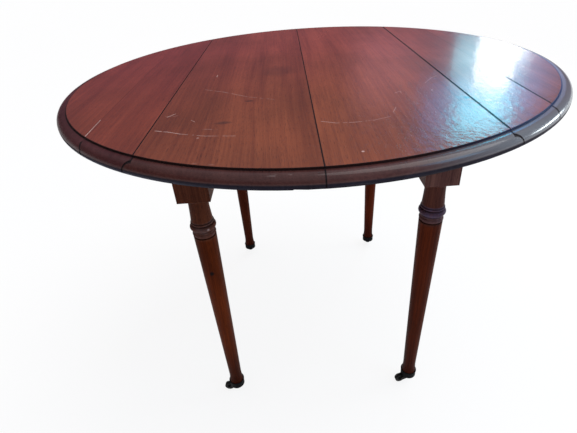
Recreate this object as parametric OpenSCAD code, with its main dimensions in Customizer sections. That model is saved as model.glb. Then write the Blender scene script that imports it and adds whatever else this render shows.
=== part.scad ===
// Round drop-leaf table that also pulls apart at the middle, on turned legs with casters.
// Millimetres, +Z up. The origin is on the floor, under the middle of the round top.
// The boards and their joints run along Y. The leaves hang at +X and -X, and the right
// half slides towards +X. Both leaves are drawn raised, with their brackets folded away.

/* [Top] */
// Diameter of the round top with both leaves raised
top_d = 1067; // [1040:1:1150]
// Height of the top face above the floor
table_h = 762; // [700:1:800]
// Thickness of the boards of the top
top_t = 24; // [23:0.5:27]
// Width of the fixed middle, between the two rule joints
centre_w = 542; // [530:1:580]
// Width of the inner board of each leaf, on its top face
leaf_board_w = 106; // [90:1:140]
// Gap where the two halves of the middle meet
seam_gap = 0.4; // [0.3:0.1:1]

/* [Edge moulding] */
// Width of the moulding, from the step in the top face out to the rim
edge_w = 20.5; // [16:0.5:26]
// Height of the step at the inner side of the moulding
step_h = 3; // [1.5:0.5:3.5]
// Radius of the upper curve of the rim
rim_top_r = 13; // [9:0.5:13]
// Radius of the lower curve of the rim
rim_bottom_r = 6.5; // [4:0.5:6.5]

/* [Rule joints] */
// Height of the square shoulder above the curve of the joint
shoulder_step = 4; // [3.5:0.5:5]
// Radius of the round edge that the leaf turns about
joint_r = 16.5; // [14:0.5:17]
// Clearance between the round edge and the hollow of the leaf
joint_gap = 0.3; // [0.25:0.05:0.6]
// Gap between the two shoulders on the top face
shoulder_gap = 0.6; // [0.4:0.1:1.2]

/* [Leaf hinges] */
// Length of a hinge along its pin
hinge_l = 38; // [32:1:50]
// Distance from the leg blocks to the outer hinges
hinge_clear = 6; // [2:1:20]
// Reach of the short plate from the pin, on the fixed middle
short_plate = 34; // [28:1:44]
// Reach of the long plate from the pin, on the leaf
long_plate = 62; // [52:1:80]
// Thickness of the plates
plate_t = 1.6; // [1.2:0.1:2]
// Radius of the barrel round the pin
barrel_r = 3.2; // [2.8:0.1:3.6]
// Radius of the hinge pin
hinge_pin_r = 1.5; // [1:0.1:1.8]
// Running clearance of the pins and axles that turn
turn_fit = 0.05; // [0.03:0.01:0.08]
// Gap at the ends and edges of the knuckles
hinge_gap = 0.5; // [0.4:0.1:0.8]

/* [Hinge screws] */
// Radius of the screw heads
screw_head_r = 3.6; // [3:0.1:4.5]
// Radius of the screw shanks
screw_r = 1.7; // [1.2:0.1:2]
// Length of the screws
screw_l = 15; // [10:0.5:18]
// Plate left between a screw head and the plate's edge
screw_edge = 4; // [2:0.5:5]

/* [Dowels between the halves] */
// Radius of the dowels
dowel_r = 4; // [3:0.5:5]
// Length of dowel that stands out of the left half
dowel_out = 15; // [10:1:25]
// Length of dowel glued into the left half
dowel_in = 18; // [12:1:30]
// Distance between neighbouring dowels
dowel_pitch = 280; // [200:1:300]
// Room round the dowels in the half that slides onto them
dowel_fit = 0.1; // [0.05:0.05:0.3]

/* [Underframe] */
// Length of the underframe over the leg blocks, along Y
base_l = 663; // [600:1:700]
// Distance from a rule joint in to the face of the leg blocks
leg_inset = 10.5; // [9.5:0.5:16]
// Depth of the aprons and side rails
apron_h = 94; // [85:1:110]
// Thickness of the front and back aprons
apron_t = 20; // [16:1:24]
// Distance that the aprons stand back from the face of the legs
apron_setback = 4.5; // [0:0.5:8]
// Thickness of the side rails
rail_t = 20; // [16:1:22]
// Thickness of the tenons
tenon_t = 9; // [6:0.5:11]
// Length of the tenons
tenon_l = 20; // [12:1:22]
// Height cut away above and below a tenon
tenon_cut = 12; // [6:1:20]
// Room round a tenon in its mortise
tenon_fit = 0.15; // [0.1:0.05:0.3]
// Thickness of the corner braces
brace_t = 20; // [14:1:24]
// Height of the corner braces
brace_h = 60; // [40:1:80]
// Room between a corner brace and the leg that it passes
brace_gap = 0.4; // [0.2:0.1:1]

/* [Legs] */
// Width of the square block at the head of a leg
block_w = 63; // [60:0.5:66]
// Height of the square block
block_h = 125; // [118:1:140]
// Height of the bead that the neck starts with, under the block
bead_h = 7; // [3:0.5:12]
// Radius of the bead where it meets the block
bead_r = 29; // [24:0.5:31]
// Radius of the neck
neck_r = 19.5; // [16:0.5:21]
// Length of the bell below the neck
bell_l = 50; // [40:1:64]
// Radius at the foot of the bell
bell_r = 22; // [19:0.5:23]
// Radius over the collar that ends the bell
collar_r = 23.6; // [23:0.1:26]
// Thickness of the collar
collar_t = 5; // [3:0.5:7]
// Radius over the large ring
ring_r = 26.5; // [25:0.5:30]
// Thickness of the large ring
ring_t = 12; // [8:0.5:13]
// Radius of the grooves between the rings
groove_r = 21.5; // [19:0.5:22.5]
// Length of the groove between the large ring and the lower one
groove_l = 5.5; // [4:0.5:12]
// Radius over the lower ring
low_ring_r = 23.9; // [23.4:0.1:26]
// Thickness of the lower ring
low_ring_t = 10; // [6:0.5:12]
// Length of the nicks above the large ring and below the lower one
nick_l = 1.5; // [1:0.5:4]
// Radius at the top of the taper
taper_top_r = 23.3; // [22:0.1:26]
// Radius at the bottom of the taper
taper_low_r = 15.3; // [14:0.1:17]
// Length of the flare from the taper to the foot
flare_l = 28; // [20:1:50]
// Radius of the foot
foot_r = 17.2; // [16:0.1:19]

/* [Leaf brackets] */
// Thickness of the swinging brackets
bracket_t = 21; // [18:0.5:22]
// Reach of a bracket from its pin to its tip
bracket_reach = 118; // [90:1:160]
// Depth of a bracket at its pin
bracket_h = 88; // [75:1:92]
// Depth of a bracket at its tip
bracket_tip_h = 58; // [40:1:70]
// Radius of the corner under the tip
bracket_tip_r = 8; // [3:0.5:12]
// Room between a raised leaf and the bracket that swings under it
bracket_gap = 1.4; // [1.2:0.1:2.5]
// Distance that the brackets stand back from the face of the legs
bracket_setback = 2.5; // [1:0.5:5]
// Distance from the leg to the bracket's pin
knuckle_l = 24; // [20:0.5:34]
// Fingers in the wooden knuckle joint, fixed and moving together
knuckle_fingers = 5; // [3:2:7]
// Gap round the fingers of the knuckle joint
knuckle_gap = 0.4; // [0.3:0.1:0.7]
// Radius of the bracket's pin
bracket_pin_r = 3; // [2:0.5:4]

/* [Extension slides] */
// Distance of each set of slides from the middle of the table
slide_y = 165; // [120:1:175]
// Thickness of one slide
slide_w = 20; // [18:0.5:22]
// Height of one slide
slide_h = 40; // [34:1:50]
// Depth of the dovetail tongues
tongue_d = 7; // [5:0.5:9]
// Half the height of a tongue at its root
tongue_root = 5; // [4:0.5:7]
// Widening of a tongue on each side, from root to edge
tongue_flare = 3; // [2:0.5:5]
// Running gap between the slides
slide_gap = 0.4; // [0.3:0.1:0.7]
// Room over a slide where it passes under the other half
slide_relief = 1; // [0.6:0.1:2]
// Room between the ends of the slides and the side rails
slide_end = 11; // [5:1:25]

/* [Casters] */
// Radius of the wheels
wheel_r = 12; // [10:0.5:12]
// Width of the wheels
wheel_w = 10; // [8:0.5:11]
// Rounding of the wheel's edges
wheel_round = 1.6; // [0.5:0.1:2.5]
// Height from the floor to the underside of the cup
caster_h = 25; // [24.5:0.5:28]
// Distance from the swivel pin to the wheel's axle
trail = 23; // [22:0.5:28]
// Thickness of the fork's cheeks
cheek_t = 2.5; // [2:0.5:3.5]
// Gap between the wheel and each cheek
wheel_gap = 0.5; // [0.3:0.1:1]
// Radius of the eye round the axle
eye_r = 4.5; // [4:0.5:6]
// Height of the fork's boss
boss_h = 10; // [8:0.5:11]
// Radius of the wheel's axle
axle_r = 2; // [1.5:0.1:2.5]
// Overhang of the axle's heads round its shank
axle_lip = 1.2; // [0.5:0.1:2]
// Room between the wheel's tread and the web of the fork
web_gap = 1.5; // [1:0.1:2]
// Height of the boss that hangs below the web
web_rise = 2; // [0:0.5:4]
// Radius of the swivel pin
swivel_r = 3; // [2.5:0.1:3.5]
// Radius of the rivet head on the swivel pin
rivet_r = 5; // [4.5:0.1:6]
// Thickness of the rivet heads
rivet_t = 1.5; // [1:0.1:2]
// Gap above and below the boss
boss_gap = 0.4; // [0.3:0.1:0.6]
// Wall of the cup round the foot
cup_t = 1.6; // [1.2:0.1:2.5]
// Height of the cup's wall round the foot
cup_h = 16; // [10:1:24]
// Thickness of the cup's floor
cup_floor = 2; // [1.5:0.5:3]
// Room between the foot and its cup
cup_fit = 0.1; // [0.05:0.05:0.2]
// Radius of the stem that goes up into the leg
stem_r = 4; // [3:0.5:5]
// Length of the stem
stem_l = 34; // [20:1:45]
// Heading of the front left wheel, measured from +X
front_left_turn = 175; // [0:5:355]
// Heading of the front right wheel
front_right_turn = 190; // [0:5:355]
// Heading of the back left wheel
back_left_turn = 100; // [0:5:355]
// Heading of the back right wheel
back_right_turn = 75; // [0:5:355]

/* [Hidden] */

// Overrun of a cut past the face that it opens
cut = 1;
// Room round metal or a dowel that is held fast in wood, and round metal held in metal
wood_fit = 0.05;
metal_fit = 0.02;
$fn = 64;
rim_facets = 180;

// Top and rule joints
rim_r = top_d / 2;
under = table_h - top_t;
rim_band_high = table_h - step_h - rim_top_r;
rim_band_low = under + rim_bottom_r;
joint_x = centre_w / 2;
pin_z = table_h - shoulder_step - joint_r;
lip = pin_z - under;
hollow_r = norm([joint_r, lip]) + joint_gap;
board_x = joint_x + leaf_board_w;
hinge_pitch = base_l / 2 + hinge_clear + hinge_l / 2;
hinge_places = [-hinge_pitch, 0, hinge_pitch];
knuckle = hinge_l / 3;
// The plates are let in flush with the underside, or higher if the barrel is
plate_low = max(under, pin_z - barrel_r);
plate_high = plate_low + plate_t;
plate_edge = barrel_r + hinge_gap;
screw_head_h = screw_head_r - screw_r;
screw_y = hinge_l / 2 - screw_head_r - screw_edge;
screw_margin = screw_head_r + screw_edge;
dowel_z = table_h - top_t / 2;
dowel_places = [-1.5, -0.5, 0.5, 1.5] * dowel_pitch;

// Underframe, in the quarter where X and Y are positive
block_out_x = joint_x - leg_inset;
block_in_x = block_out_x - block_w;
block_in_y = base_l / 2 - block_w;
leg_x = block_out_x - block_w / 2;
leg_y = base_l / 2 - block_w / 2;
apron_out_y = base_l / 2 - apron_setback;
apron_in_y = apron_out_y - apron_t;
bracket_x = block_out_x - bracket_setback - bracket_t / 2;
rail_out_x = bracket_x - bracket_t / 2 - knuckle_gap;
rail_in_x = rail_out_x - rail_t;

// Legs
block_low = under - block_h;
cup_low = caster_h;
foot_z = cup_low + cup_floor;
flare_low = foot_z + cup_h;
bell_top = block_low - bead_h;
collar_z = bell_top - bell_l - collar_t / 2;
ring_z = collar_z - collar_t / 2 - nick_l - ring_t / 2;
low_ring_z = ring_z - ring_t / 2 - groove_l - low_ring_t / 2;
taper_top = low_ring_z - low_ring_t / 2 - nick_l;

// Brackets
bracket_top = min(under, pin_z - barrel_r) - bracket_gap;
bracket_low = bracket_top - bracket_h;
bracket_y = block_in_y - knuckle_l;
finger_h = bracket_h / knuckle_fingers;
knuckle_r = bracket_t / 2;

// Slides
slide_l = 2 * (rail_in_x - slide_end);
slide_pitch = slide_w + slide_gap;
slide_mid = under - slide_h / 2;

// Casters
boss_high = caster_h - boss_gap;
boss_low = boss_high - boss_h;
cheek_in = wheel_w / 2 + wheel_gap;
cheek_out = cheek_in + cheek_t;
boss_r = cheek_out;

// A part drawn for the right side, or turned half round for the left side.
module on_side(side) {
  rotate([0, 0, side > 0 ? 0 : 180]) children();
}

// The whole round top, with its stepped and rounded edge. Its seam lies at -X, clear of
// the boards, which are all drawn on the right side.
module round_top() {
  rotate([0, 0, 180]) rotate_extrude($fn = rim_facets) {
    translate([0, under]) square([rim_r - edge_w, top_t]);
    translate([0, under]) square([rim_r - rim_top_r, top_t - step_h]);
    translate([0, under]) square([rim_r - rim_bottom_r, rim_band_high - under]);
    translate([0, rim_band_low]) square([rim_r, rim_band_high - rim_band_low]);
    rim_round(rim_top_r, rim_band_high, 1);
    rim_round(rim_bottom_r, rim_band_low, -1);
  }
}

// Quarter round of the rim, above or below the height of its centre.
module rim_round(r, z, side) {
  intersection() {
    translate([rim_r - r, z]) circle(r);
    translate([rim_r - r - cut, side > 0 ? z : z - r]) square([r + cut, r]);
  }
}

// The part of the round top whose section across the boards is the given flat shape.
module top_board() {
  intersection() {
    round_top();
    rotate([90, 0, 0]) linear_extrude(top_d + 2 * cut, center = true) children();
  }
}

// Screws of one plate, heads down: the same shape cuts their holes.
module screw(room = 0) {
  translate([0, 0, plate_low - room]) {
    cylinder(r1 = screw_head_r + 2 * room, r2 = screw_r + room, h = screw_head_h + room);
    cylinder(r = screw_r + room, h = screw_l + 2 * room);
  }
}

module short_screws(room = 0) {
  for (y = hinge_places, s = [-1, 1])
    translate([joint_x - short_plate + screw_margin, y + s * screw_y, 0]) screw(room);
}

module long_screws(room = 0) {
  for (y = hinge_places) {
    for (s = [-1, 1])
      translate([joint_x + hollow_r + screw_margin, y + s * screw_y, 0]) screw(room);
    translate([joint_x + long_plate - screw_margin, y, 0]) screw(room);
  }
}

// Fixed middle of the top

module top_half(side) {
  color("#6b3320") on_side(side) difference() {
    top_board() {
      translate([seam_gap / 2, under]) square([joint_x - seam_gap / 2, top_t]);
      translate([joint_x - cut, under]) square([joint_r + cut, lip]);
      intersection() {
        translate([joint_x, pin_z]) circle(joint_r);
        translate([joint_x - cut, pin_z]) square([joint_r + cut, joint_r]);
      }
    }
    for (y = hinge_places) fixed_hinge_bed(y);
    short_screws(wood_fit);
    for (y = dowel_places)
      translate([0, y, dowel_z]) rotate([0, 90, 0])
        cylinder(r = dowel_r + (side > 0 ? dowel_fit : wood_fit),
                 h = side > 0 ? dowel_out + cut : dowel_in + cut);
  }
}

// The recesses that one hinge needs in the fixed middle: a bed for the short plate, a
// groove for the barrel, and room for the long plate where it passes under the lip.
module fixed_hinge_bed(y) {
  bed = hinge_l + 2 * hinge_gap;
  groove = 2 * (barrel_r + hinge_gap);
  translate([joint_x - short_plate, y - bed / 2, under - cut])
    cube([short_plate, bed, plate_high - under + cut]);
  translate([joint_x, y, pin_z]) rotate([90, 0, 0])
    cylinder(d = groove, h = bed, center = true);
  translate([joint_x - groove / 2, y - bed / 2, under - cut])
    cube([groove, bed, lip + cut]);
  translate([joint_x, y - bed / 2, under - cut])
    cube([joint_r + cut, bed, plate_high + hinge_gap - under + cut]);
}

module alignment_dowels() {
  color("#b08a5a")
  for (y = dowel_places)
    translate([-seam_gap / 2 - dowel_in, y, dowel_z]) rotate([0, 90, 0])
      cylinder(r = dowel_r, h = dowel_in + seam_gap + dowel_out - cut);
}

// Drop leaves

module leaf_inner_board(side) {
  color("#74361f") on_side(side) difference() {
    top_board() difference() {
      translate([joint_x + shoulder_gap, under])
        square([leaf_board_w - shoulder_gap, top_t]);
      translate([joint_x, pin_z]) circle(hollow_r);
      translate([joint_x, under - cut]) square([hollow_r, lip + cut]);
    }
    for (y = hinge_places)
      translate([joint_x, y - hinge_l / 2 - hinge_gap, under - cut])
        cube([long_plate, hinge_l + 2 * hinge_gap, plate_high - under + cut]);
    long_screws(wood_fit);
  }
}

module leaf_outer_board(side) {
  color("#7a3a22") on_side(side)
  top_board() translate([board_x, under]) square([rim_r - board_x + cut, top_t]);
}

// Hinges of the leaves

module hinge_barrel(y_low, y_high) {
  translate([joint_x, y_high, pin_z]) rotate([90, 0, 0])
    cylinder(r = barrel_r, h = y_high - y_low);
}

module pin_bore(fit) {
  for (y = hinge_places)
    translate([joint_x, y, pin_z]) rotate([90, 0, 0])
      cylinder(r = hinge_pin_r + fit, h = hinge_l + 2 * cut, center = true);
}

module hinge_short_plates(side) {
  color("#4d4a46") on_side(side) difference() {
    for (y = hinge_places) {
      translate([joint_x - short_plate, y - hinge_l / 2, plate_low])
        cube([short_plate - plate_edge, hinge_l, plate_t]);
      for (s = [-1, 1]) {
        low = y + s * knuckle - knuckle / 2;
        hinge_barrel(low, low + knuckle);
        translate([joint_x - plate_edge - cut, low, plate_low])
          cube([plate_edge + cut, knuckle, plate_t]);
      }
    }
    pin_bore(metal_fit);
    short_screws(metal_fit);
  }
}

module hinge_long_plates(side) {
  // The middle knuckle is a little short, so that it turns between the outer two
  length = knuckle - hinge_gap;
  color("#54504a") on_side(side) difference() {
    for (y = hinge_places) {
      translate([joint_x + plate_edge, y - hinge_l / 2, plate_low])
        cube([long_plate - plate_edge, hinge_l, plate_t]);
      hinge_barrel(y - length / 2, y + length / 2);
      translate([joint_x, y - length / 2, plate_low])
        cube([plate_edge + cut, length, plate_t]);
    }
    pin_bore(turn_fit);
    long_screws(metal_fit);
  }
}

module hinge_pins(side) {
  color("#8a867e") on_side(side)
  for (y = hinge_places)
    translate([joint_x, y, pin_z]) rotate([90, 0, 0])
      cylinder(r = hinge_pin_r, h = hinge_l, center = true);
}

module short_plate_screws(side) {
  color("#9a958a") on_side(side) short_screws();
}

module long_plate_screws(side) {
  color("#9a958a") on_side(side) long_screws();
}

// Aprons, rails and braces

module apron(sx, sy) {
  apron_l = block_in_x - seam_gap / 2;
  color("#5c2e1b")
  translate([0, sy * (apron_out_y - apron_t / 2), under - apron_h / 2]) {
    translate([sx * (seam_gap / 2 + apron_l / 2), 0, 0])
      cube([apron_l, apron_t, apron_h], center = true);
    translate([sx * (block_in_x + tenon_l / 2 - cut / 2), 0, 0])
      cube([tenon_l + cut, tenon_t, apron_h - 2 * tenon_cut], center = true);
  }
}

module side_rail(side) {
  color("#5c2e1b")
  translate([side * (rail_out_x - rail_t / 2), 0, under - apron_h / 2]) {
    cube([rail_t, 2 * block_in_y, apron_h], center = true);
    cube([tenon_t, 2 * (block_in_y + tenon_l), apron_h - 2 * tenon_cut], center = true);
  }
}

// Each brace runs at 45 degrees from the apron to the rail, just clear of the leg.
module corner_braces(side) {
  outer = block_in_x + block_in_y - brace_gap * sqrt(2);
  inner = outer - brace_t * sqrt(2);
  color("#a9855a")
  for (sy = [-1, 1])
    translate([0, 0, under - brace_h]) linear_extrude(brace_h)
      polygon([
        [side * (outer - apron_in_y), sy * apron_in_y],
        [side * rail_in_x, sy * (outer - rail_in_x)],
        [side * rail_in_x, sy * (inner - rail_in_x)],
        [side * (inner - apron_in_y), sy * apron_in_y]
      ]);
}

// Turned legs

// Radius part of the way along a hollow curve that starts straight and then spreads.
function spread(from_r, to_r, t) = from_r + (to_r - from_r) * (1 - cos(90 * t));

// Half outline of the turning, without its rings. Its top end is let into the block.
turning = concat(
  [[0, block_low + cut], [bead_r, block_low + cut]],
  // rounded bead under the flat end of the block
  [for (a = [0:15:90]) [neck_r + (bead_r - neck_r) * cos(a), block_low - bead_h * sin(a)]],
  // bell, straight at the neck and spreading towards the collar
  [for (t = [0.2:0.2:1]) [spread(neck_r, bell_r, t), bell_top - bell_l * t]],
  [[groove_r, collar_z],
   [groove_r, low_ring_z],
   [groove_r, taper_top + nick_l / 2],
   [taper_top_r, taper_top],
   [taper_low_r, flare_low + flare_l]],
  [for (t = [0.25:0.25:1]) [spread(taper_low_r, foot_r, t), flare_low + flare_l * (1 - t)]],
  [[foot_r, foot_z], [0, foot_z]]
);

module leg(sx, sy) {
  color("#7b4022") difference() {
    translate([sx * leg_x, sy * leg_y, 0]) {
      translate([-block_w / 2, -block_w / 2, block_low])
        cube([block_w, block_w, block_h]);
      rotate_extrude() polygon(turning);
      translate([0, 0, collar_z]) rotate_extrude() ring(collar_r, collar_t);
      translate([0, 0, ring_z]) rotate_extrude() ring(ring_r, ring_t);
      translate([0, 0, low_ring_z]) rotate_extrude() ring(low_ring_r, low_ring_t);
    }
    leg_cuts(sx, sy);
  }
}

// Half section of one turned ring, rounded at its edge.
module ring(r, t) {
  translate([0, -t / 2]) square([r - t / 2, t]);
  translate([r - t / 2, 0]) circle(t / 2);
}

// Mortises for the apron and the side rail, and the bore for the caster's stem.
module leg_cuts(sx, sy) {
  mortise_h = apron_h - 2 * tenon_cut + 2 * tenon_fit;
  mortise_t = tenon_t + 2 * tenon_fit;
  mortise_l = tenon_l + tenon_fit + cut;
  reach = (tenon_l + tenon_fit - cut) / 2;
  translate([sx * (block_in_x + reach), sy * (apron_out_y - apron_t / 2),
             under - apron_h / 2])
    cube([mortise_l, mortise_t, mortise_h], center = true);
  translate([sx * (rail_out_x - rail_t / 2), sy * (block_in_y + reach),
             under - apron_h / 2])
    cube([mortise_t, mortise_l, mortise_h], center = true);
  translate([sx * leg_x, sy * leg_y, foot_z - cut])
    cylinder(r = stem_r + wood_fit, h = stem_l + 2 * cut);
}

// Brackets that swing out under the leaves

// Bottom of a level of the knuckle joint, and whether that level is on the fixed block.
function finger_z(i) = bracket_low + i * finger_h;
function is_fixed(i) = i % 2 == 0;

// One finger, round at the pin and square towards the piece that carries it.
module finger(i, toward) {
  h = finger_h - knuckle_gap;
  translate([bracket_x, -bracket_y, finger_z(i) + knuckle_gap / 2]) {
    cylinder(r = knuckle_r, h = h);
    translate([-knuckle_r, toward > 0 ? 0 : -knuckle_r - knuckle_gap - cut, 0])
      cube([bracket_t, knuckle_r + knuckle_gap + cut, h]);
  }
}

module bracket_bore(fit) {
  translate([bracket_x, -bracket_y, bracket_low - cut])
    cylinder(r = bracket_pin_r + fit, h = bracket_h + 2 * cut);
}

module knuckle_block(side) {
  body_l = knuckle_l - knuckle_r - knuckle_gap;
  color("#643420") on_side(side) difference() {
    union() {
      translate([rail_out_x, -block_in_y, bracket_low])
        cube([bracket_t + knuckle_gap, body_l, bracket_h]);
      for (i = [0:knuckle_fingers - 1]) if (is_fixed(i)) finger(i, -1);
    }
    bracket_bore(metal_fit);
  }
}

// Side view of the arm: level top, and a lower edge that rises in an ogee to the tip.
module bracket_outline() {
  start = knuckle_r + knuckle_gap;
  rise = bracket_h - bracket_tip_h;
  run = bracket_reach - bracket_tip_r - start;
  tip_low = bracket_low + rise;
  polygon(concat(
    [[start, bracket_top], [bracket_reach, bracket_top]],
    [for (a = [0:15:90])
      [bracket_reach - bracket_tip_r * (1 - cos(a)),
       tip_low + bracket_tip_r * (1 - sin(a))]],
    [for (t = [0.9:-0.1:0])
      [start + run * t, bracket_low + rise * (1 - cos(180 * t)) / 2]]
  ));
}

module bracket(side) {
  color("#70391f") on_side(side) difference() {
    union() {
      translate([bracket_x, -bracket_y, 0]) rotate([90, 0, 90])
        linear_extrude(bracket_t, center = true) bracket_outline();
      for (i = [0:knuckle_fingers - 1]) if (!is_fixed(i)) finger(i, 1);
    }
    bracket_bore(turn_fit);
  }
}

module bracket_pin(side) {
  color("#6f6c66") on_side(side)
  translate([bracket_x, -bracket_y, bracket_low])
    cylinder(r = bracket_pin_r, h = bracket_h);
}

// Extension slides: the outer one is on the left half, the inner one on the right half,
// and the middle one runs between them on dovetail tongues.

// Corners of a tongue that stands out from the face at x, towards the given side.
function tongue(x, side, grow = 0) = [
  [x, -side * (tongue_root + grow)],
  [x + side * (tongue_d + grow), -side * (tongue_root + tongue_flare + grow)],
  [x + side * (tongue_d + grow), side * (tongue_root + tongue_flare + grow)],
  [x, side * (tongue_root + grow)]
];

// A bar along X whose section across it is the given flat shape, in Y and Z.
module bar_along_x() {
  rotate([90, 0, 90]) linear_extrude(slide_l, center = true) children();
}

module middle_slide(sy) {
  color("#b08d5e") translate([0, sy * slide_y, slide_mid]) bar_along_x() {
    polygon(concat(
      [[-slide_w / 2, -slide_h / 2], [slide_w / 2, -slide_h / 2]],
      tongue(slide_w / 2, 1),
      [[slide_w / 2, slide_h / 2 - slide_relief], [-slide_w / 2, slide_h / 2 - slide_relief]],
      tongue(-slide_w / 2, -1)
    ));
  }
}

// half is -1 for the slide on the left half of the table and 1 for the one on the right.
module grooved_slide(half, sy) {
  side = sy * -half;
  color("#a5824f")
  translate([0, sy * slide_y + side * slide_pitch, slide_mid]) difference() {
    bar_along_x() difference() {
      square([slide_w, slide_h], center = true);
      polygon(tongue(-side * (slide_w / 2 + slide_gap), side, slide_gap));
    }
    translate([half < 0 ? -slide_end : slide_end - slide_l,
               -slide_w / 2 - cut, slide_h / 2 - slide_relief])
      cube([slide_l, slide_w + 2 * cut, slide_relief + cut]);
  }
}

// Casters

module at_leg(sx, sy, turn) {
  translate([sx * leg_x, sy * leg_y, 0]) rotate([0, 0, turn]) children();
}

// Cup round the foot, with the stem that goes up into the leg and the swivel pin below.
module cup(sx, sy) {
  in_r = foot_r + cup_fit;
  out_r = in_r + cup_t;
  high = foot_z + cup_h;
  color("#6d6048") at_leg(sx, sy, 0) {
    rotate_extrude() {
      difference() {
        union() {
          translate([0, cup_low]) square([out_r, high - cup_low]);
          translate([out_r - cup_t / 2, high - cup_t]) circle(cup_t);
        }
        translate([-cut, foot_z]) square([in_r + cut, cup_h + 2 * cup_t]);
      }
      translate([0, foot_z - cut / 2]) square([stem_r, stem_l + cut / 2]);
      translate([0, boss_low - boss_gap - cut / 2])
        square([swivel_r, cup_low - boss_low + boss_gap + cut]);
      translate([0, boss_low - boss_gap - rivet_t]) square([rivet_r, rivet_t]);
    }
  }
}

module fork(sx, sy, turn) {
  axle_z = wheel_r;
  color("#3b3936") at_leg(sx, sy, turn) difference() {
    union() {
      translate([0, 0, boss_low]) cylinder(r = boss_r, h = boss_h);
      for (s = [-1, 1])
        translate([0, s * (cheek_in + cheek_t / 2), 0]) rotate([90, 0, 0])
          linear_extrude(cheek_t, center = true) {
            translate([trail, axle_z]) circle(eye_r);
            polygon([[0, boss_low], [trail, axle_z - eye_r], [trail, axle_z + eye_r],
                     [boss_r, boss_high], [0, boss_high]]);
          }
      translate([0, -cheek_in - cut, boss_low + web_rise])
        cube([trail - wheel_r - web_gap, 2 * (cheek_in + cut), boss_h - web_rise]);
    }
    translate([0, 0, boss_low - cut]) cylinder(r = swivel_r + turn_fit, h = boss_h + 2 * cut);
    translate([trail, 0, axle_z]) rotate([90, 0, 0])
      cylinder(r = axle_r + metal_fit, h = 2 * cheek_out + 2 * cut, center = true);
  }
}

module axle(sx, sy, turn) {
  color("#57534d") at_leg(sx, sy, turn) translate([trail, 0, wheel_r]) rotate([90, 0, 0]) {
    cylinder(r = axle_r, h = 2 * cheek_out, center = true);
    for (s = [-1, 1])
      translate([0, 0, s * (cheek_out + rivet_t / 2)])
        cylinder(r = axle_r + axle_lip, h = rivet_t, center = true);
  }
}

module wheel(sx, sy, turn) {
  core = wheel_r - wheel_round;
  color("#2e2c2a") at_leg(sx, sy, turn) translate([trail, 0, wheel_r]) rotate([90, 0, 0])
  difference() {
    rotate_extrude() {
      translate([0, -wheel_w / 2]) square([core, wheel_w]);
      translate([0, wheel_round - wheel_w / 2]) square([wheel_r, wheel_w - 2 * wheel_round]);
      for (s = [-1, 1])
        translate([core, s * (wheel_w / 2 - wheel_round)]) circle(wheel_round);
    }
    cylinder(r = axle_r + turn_fit, h = wheel_w + 2 * cut, center = true);
  }
}

top_half(-1);  // left_top
top_half(1);  // right_top
alignment_dowels();
leaf_inner_board(-1);  // left_leaf_inner_board
leaf_outer_board(-1);  // left_leaf_outer_board
leaf_inner_board(1);  // right_leaf_inner_board
leaf_outer_board(1);  // right_leaf_outer_board
hinge_short_plates(-1);  // left_hinge_short_plates
hinge_long_plates(-1);  // left_hinge_long_plates
hinge_pins(-1);  // left_hinge_pins
short_plate_screws(-1);  // left_short_plate_screws
long_plate_screws(-1);  // left_long_plate_screws
hinge_short_plates(1);  // right_hinge_short_plates
hinge_long_plates(1);  // right_hinge_long_plates
hinge_pins(1);  // right_hinge_pins
short_plate_screws(1);  // right_short_plate_screws
long_plate_screws(1);  // right_long_plate_screws
apron(-1, -1);  // front_left_apron
apron(1, -1);  // front_right_apron
apron(-1, 1);  // back_left_apron
apron(1, 1);  // back_right_apron
side_rail(-1);  // left_side_rail
side_rail(1);  // right_side_rail
corner_braces(-1);  // left_corner_braces
corner_braces(1);  // right_corner_braces
leg(-1, -1);  // front_left_leg
leg(1, -1);  // front_right_leg
leg(-1, 1);  // back_left_leg
leg(1, 1);  // back_right_leg
knuckle_block(-1);  // left_knuckle_block
bracket(-1);  // left_bracket
bracket_pin(-1);  // left_bracket_pin
knuckle_block(1);  // right_knuckle_block
bracket(1);  // right_bracket
bracket_pin(1);  // right_bracket_pin
grooved_slide(-1, -1);  // front_left_slide
middle_slide(-1);  // front_middle_slide
grooved_slide(1, -1);  // front_right_slide
grooved_slide(-1, 1);  // back_left_slide
middle_slide(1);  // back_middle_slide
grooved_slide(1, 1);  // back_right_slide
cup(-1, -1);  // front_left_cup
fork(-1, -1, front_left_turn);  // front_left_fork
axle(-1, -1, front_left_turn);  // front_left_axle
wheel(-1, -1, front_left_turn);  // front_left_wheel
cup(1, -1);  // front_right_cup
fork(1, -1, front_right_turn);  // front_right_fork
axle(1, -1, front_right_turn);  // front_right_axle
wheel(1, -1, front_right_turn);  // front_right_wheel
cup(-1, 1);  // back_left_cup
fork(-1, 1, back_left_turn);  // back_left_fork
axle(-1, 1, back_left_turn);  // back_left_axle
wheel(-1, 1, back_left_turn);  // back_left_wheel
cup(1, 1);  // back_right_cup
fork(1, 1, back_right_turn);  // back_right_fork
axle(1, 1, back_right_turn);  // back_right_axle
wheel(1, 1, back_right_turn);  // back_right_wheel
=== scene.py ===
import math

import bpy
from mathutils import Matrix, Vector


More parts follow.
